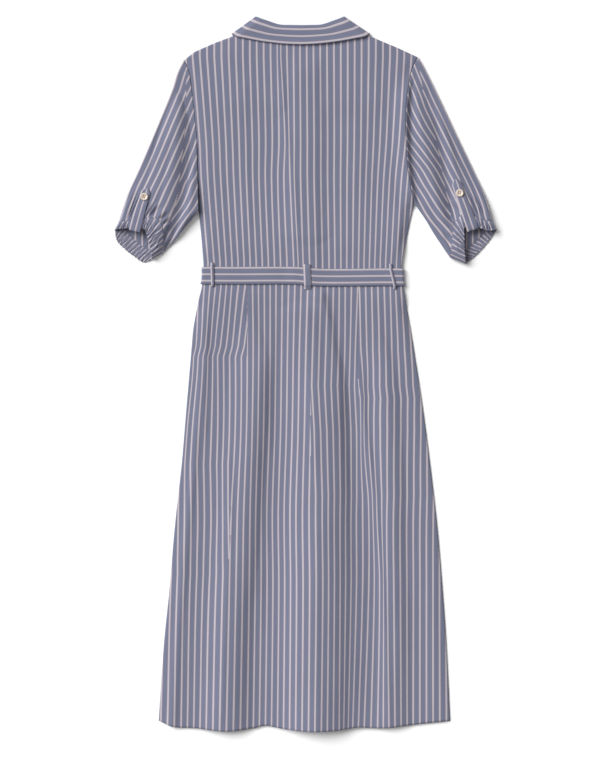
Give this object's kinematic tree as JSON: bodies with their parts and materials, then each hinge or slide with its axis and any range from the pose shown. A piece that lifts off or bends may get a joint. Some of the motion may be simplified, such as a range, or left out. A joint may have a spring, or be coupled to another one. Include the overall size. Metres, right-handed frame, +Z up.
{
  "type": "shirt dress",
  "caption": "Midi shirt dress laid flat, back up: collar, gathered tabbed sleeves, belt in loops, darted skirt with soft folds.",
  "frame": {"origin": "under the middle of the dress as it lies, on the surface it rests on", "axes": "+Z up off the surface; +Y from hem to collar; +X toward the wearer's right side, the dress lying face down with its back up"},
  "size_m": [0.6295, 1.1772, 0.0172],
  "materials": {
    "striped_cotton": "matt plain-weave cotton, grey-violet with narrow pale stripes",
    "button_shell": "pale cream-beige four-hole shirt button, satin"
  },
  "bodies": {
    "root": {"skirt_back": "striped_cotton", "bodice_back": "striped_cotton", "skirt_front_left": "striped_cotton", "skirt_front_right": "striped_cotton", "bodice_front_left": "striped_cotton", "bodice_front_right": "striped_cotton", "sleeve_left": "striped_cotton", "sleeve_right": "striped_cotton", "cuff_left": "striped_cotton", "cuff_right": "striped_cotton", "tab_left": "striped_cotton", "tab_right": "striped_cotton", "belt": "striped_cotton", "belt_loop_left": "striped_cotton", "belt_loop_centre": "striped_cotton", "belt_loop_right": "striped_cotton", "collar": "striped_cotton", "collar_stand": "striped_cotton", "tab_button_left": "button_shell", "tab_button_right": "button_shell", "front_button_1": "button_shell", "front_button_2": "button_shell", "front_button_3": "button_shell", "front_button_4": "button_shell", "front_button_5": "button_shell", "front_button_6": "button_shell", "front_button_7": "button_shell", "front_button_8": "button_shell", "front_button_9": "button_shell", "front_button_10": "button_shell"}
  },
  "joints": []
}
